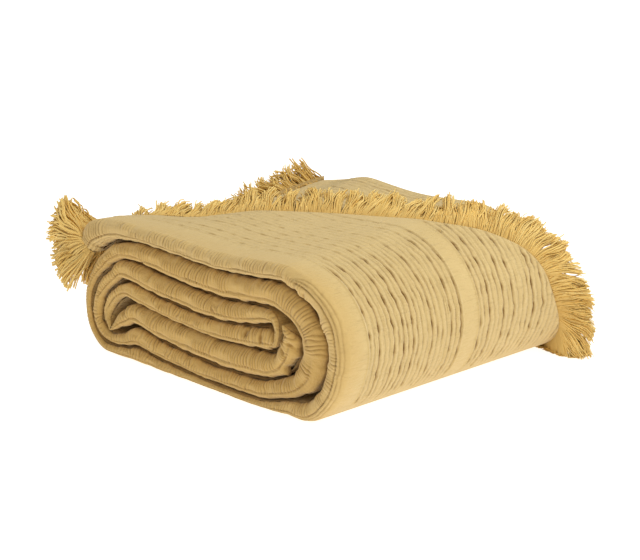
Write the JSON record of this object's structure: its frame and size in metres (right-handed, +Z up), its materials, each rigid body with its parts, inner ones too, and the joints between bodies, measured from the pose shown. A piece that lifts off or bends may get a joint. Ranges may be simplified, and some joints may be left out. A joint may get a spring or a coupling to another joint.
{
  "type": "rolled blanket",
  "caption": "Ribbed cotton blanket with long fringe, folded lengthwise into a thick strip and wound into a flat, wide roll that lies on its side.",
  "frame": {"origin": "on the floor, under the middle of the roll's flat underside", "axes": "+X along the roll's wide face, towards its thick rounded side, +Y from the end where the turns show to the fringed far end, +Z up"},
  "size_m": [0.4598, 0.3977, 0.1854],
  "materials": {
    "ribbed_cotton": "matt cotton with padded ribs and fine crinkles",
    "fringe_cotton": "loose twisted cotton yarn"
  },
  "bodies": {
    "root": {"blanket_roll": "ribbed_cotton", "fringe_end": "fringe_cotton", "fringe_top": "fringe_cotton", "fringe_side": "fringe_cotton", "fringe_rim_1": "fringe_cotton", "fringe_rim_2": "fringe_cotton", "fringe_rim_3": "fringe_cotton", "fringe_rim_4": "fringe_cotton", "fringe_rim_5": "fringe_cotton"}
  },
  "joints": []
}
